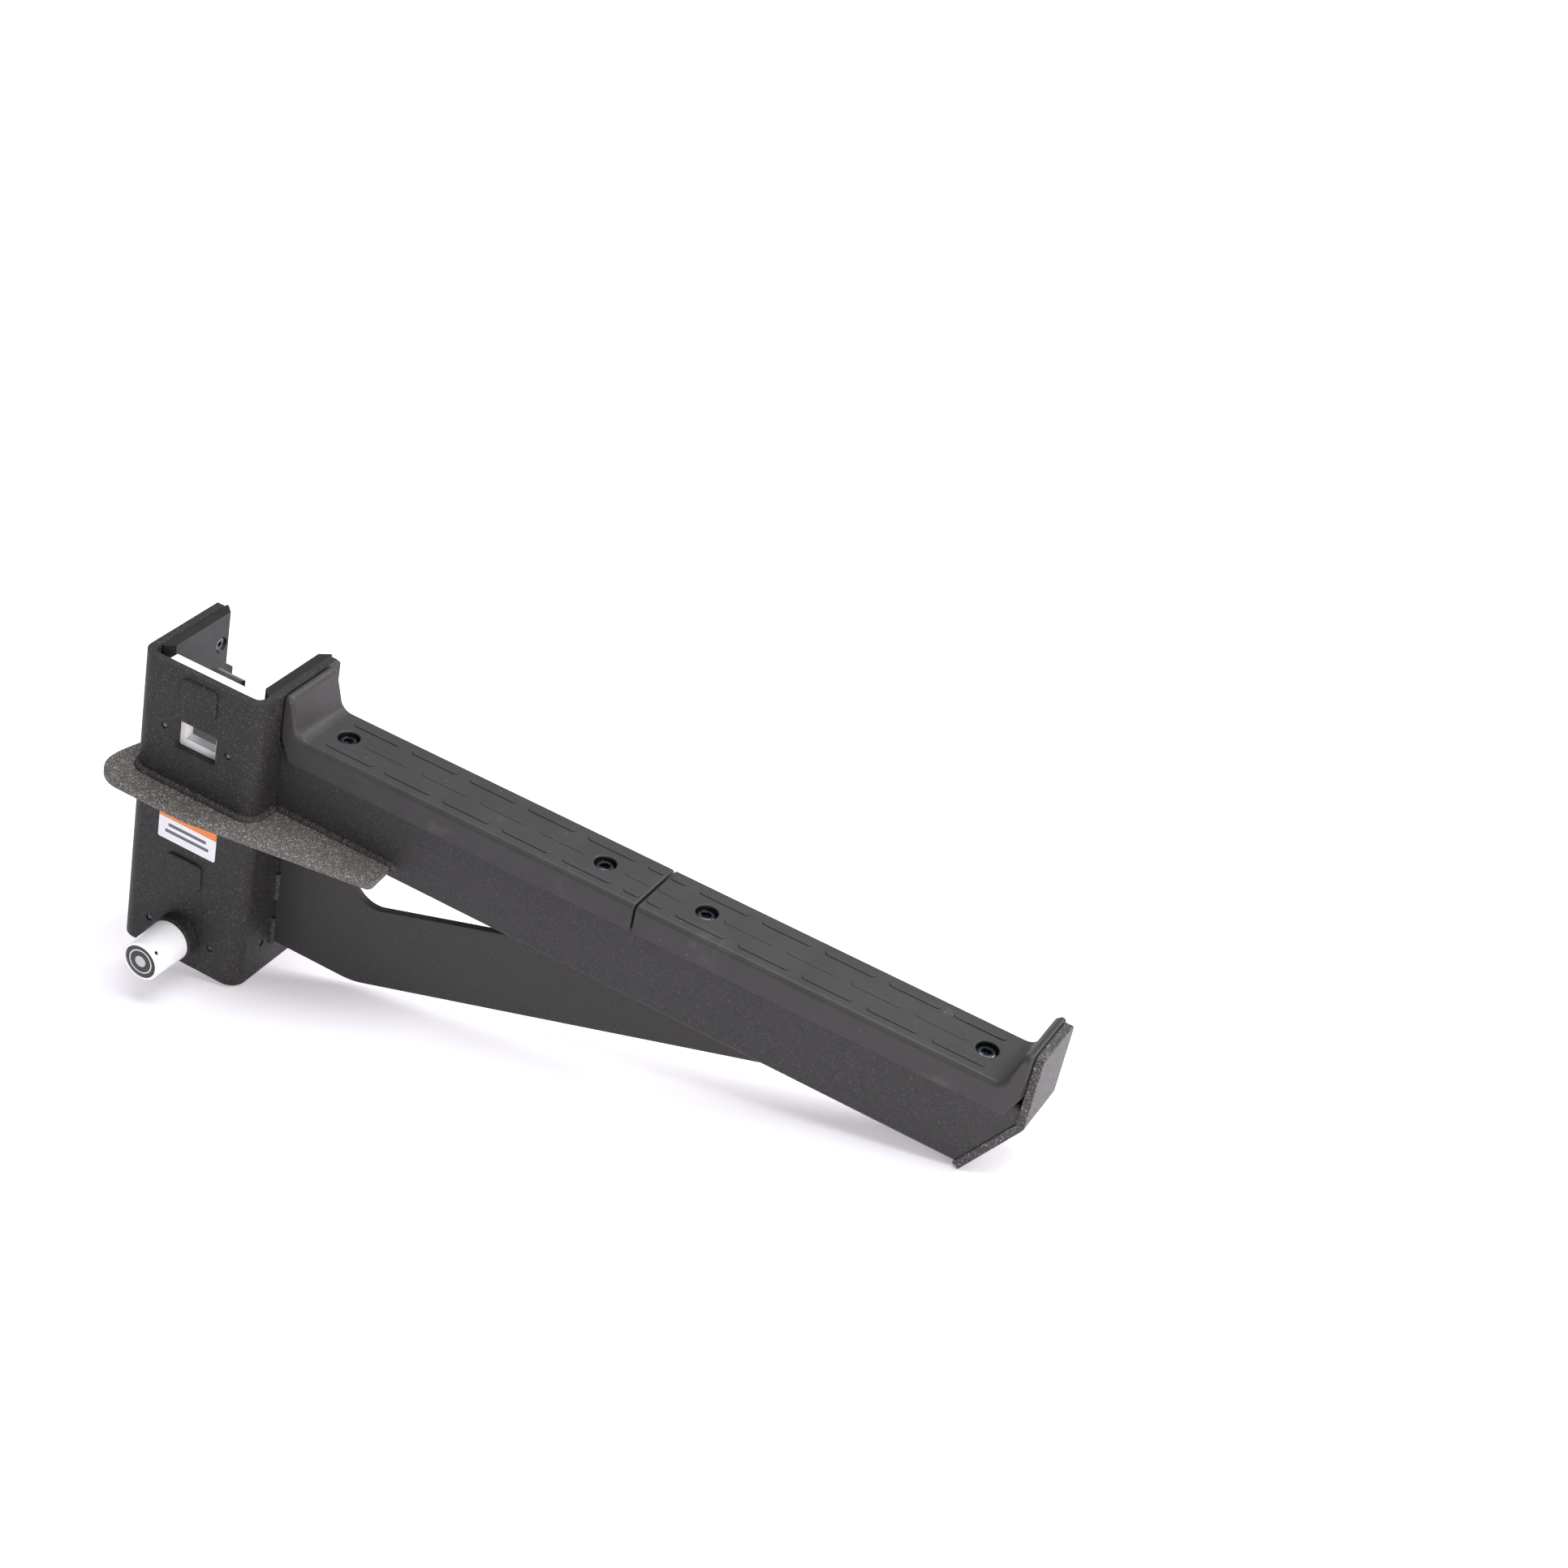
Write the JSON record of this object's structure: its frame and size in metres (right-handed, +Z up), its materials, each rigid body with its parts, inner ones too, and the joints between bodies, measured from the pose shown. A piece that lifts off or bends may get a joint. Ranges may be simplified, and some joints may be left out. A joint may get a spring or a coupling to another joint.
{
  "type": "power rack safety spotter arm",
  "caption": "Steel arm that hooks onto a square rack upright, locks with a spring pull pin, and catches a barbell on padded plastic between two raised ends.",
  "frame": {"origin": "on the axis of the square upright that the channel wraps, at the height of the pull pin's axis", "axes": "+X along the arm away from the upright, +Y towards the channel's open side, away from the pull knob, +Z up the upright"},
  "size_m": [0.7207, 0.1505, 0.2524],
  "materials": {
    "powder_coat": "fine textured dark grey powder coat with a faint sparkle",
    "pad_plastic": "satin charcoal moulded UHMW",
    "liner_white": "satin white UHMW",
    "liner_black": "satin black UHMW",
    "cap_plastic": "glossy black moulded plastic",
    "black_oxide": "black oxide on steel fasteners",
    "zinc_steel": "bright zinc plate",
    "knob_white": "glossy white acetal",
    "badge_black": "glossy black inlay with plain rings",
    "bushing_bronze": "plain bronze",
    "sticker": "satin vinyl label, white with an orange band and plain grey bars",
    "decal": "satin vinyl label with a plain light pattern"
  },
  "bodies": {
    "arm_frame": {"upright_channel": "powder_coat", "arm_tube": "powder_coat", "end_plate": "powder_coat", "lower_gusset": "powder_coat", "wrap_gusset": "powder_coat", "weld_beads": "powder_coat", "upper_hook": "powder_coat", "lower_hook": "powder_coat", "upper_hook_cap": "cap_plastic", "lower_hook_cap": "cap_plastic", "hook_cap_screws": "black_oxide", "upper_web_liner": "liner_white", "lower_web_liner": "liner_black", "upper_free_side_liner": "liner_black", "upper_arm_side_liner": "liner_black", "lower_free_side_liner": "liner_black", "lower_arm_side_liner": "liner_black", "side_liner_screws": "black_oxide", "web_liner_screws": "black_oxide", "rear_pad": "pad_plastic", "tip_pad": "pad_plastic", "pad_bolts": "black_oxide", "pad_bolt_washers": "black_oxide", "pad_bolt_nuts": "zinc_steel", "pin_housing": "powder_coat", "guide_bushing": "bushing_bronze", "pin_spring": "zinc_steel", "web_sticker": "sticker", "arm_decal": "decal"},
    "spring_washer": {"thrust_washer": "zinc_steel"},
    "pull_pin": {"lock_pin": "zinc_steel", "pull_knob": "knob_white", "knob_badge": "badge_black", "knob_set_screw": "black_oxide"}
  },
  "joints": [
    {"name": "pin_pull", "type": "slide", "parent": "arm_frame", "child": "spring_washer", "axis": [0, -1, 0], "range_m": [0, 0.02], "stiffness_N_per_m": 1000, "springref_m": -0.01, "deforming": ["pin_spring"]},
    {"name": "knob_spin", "type": "hinge", "parent": "spring_washer", "child": "pull_pin", "pos_m": [0, -0.06, 0], "axis": [0, -1, 0], "continuous": true}
  ]
}
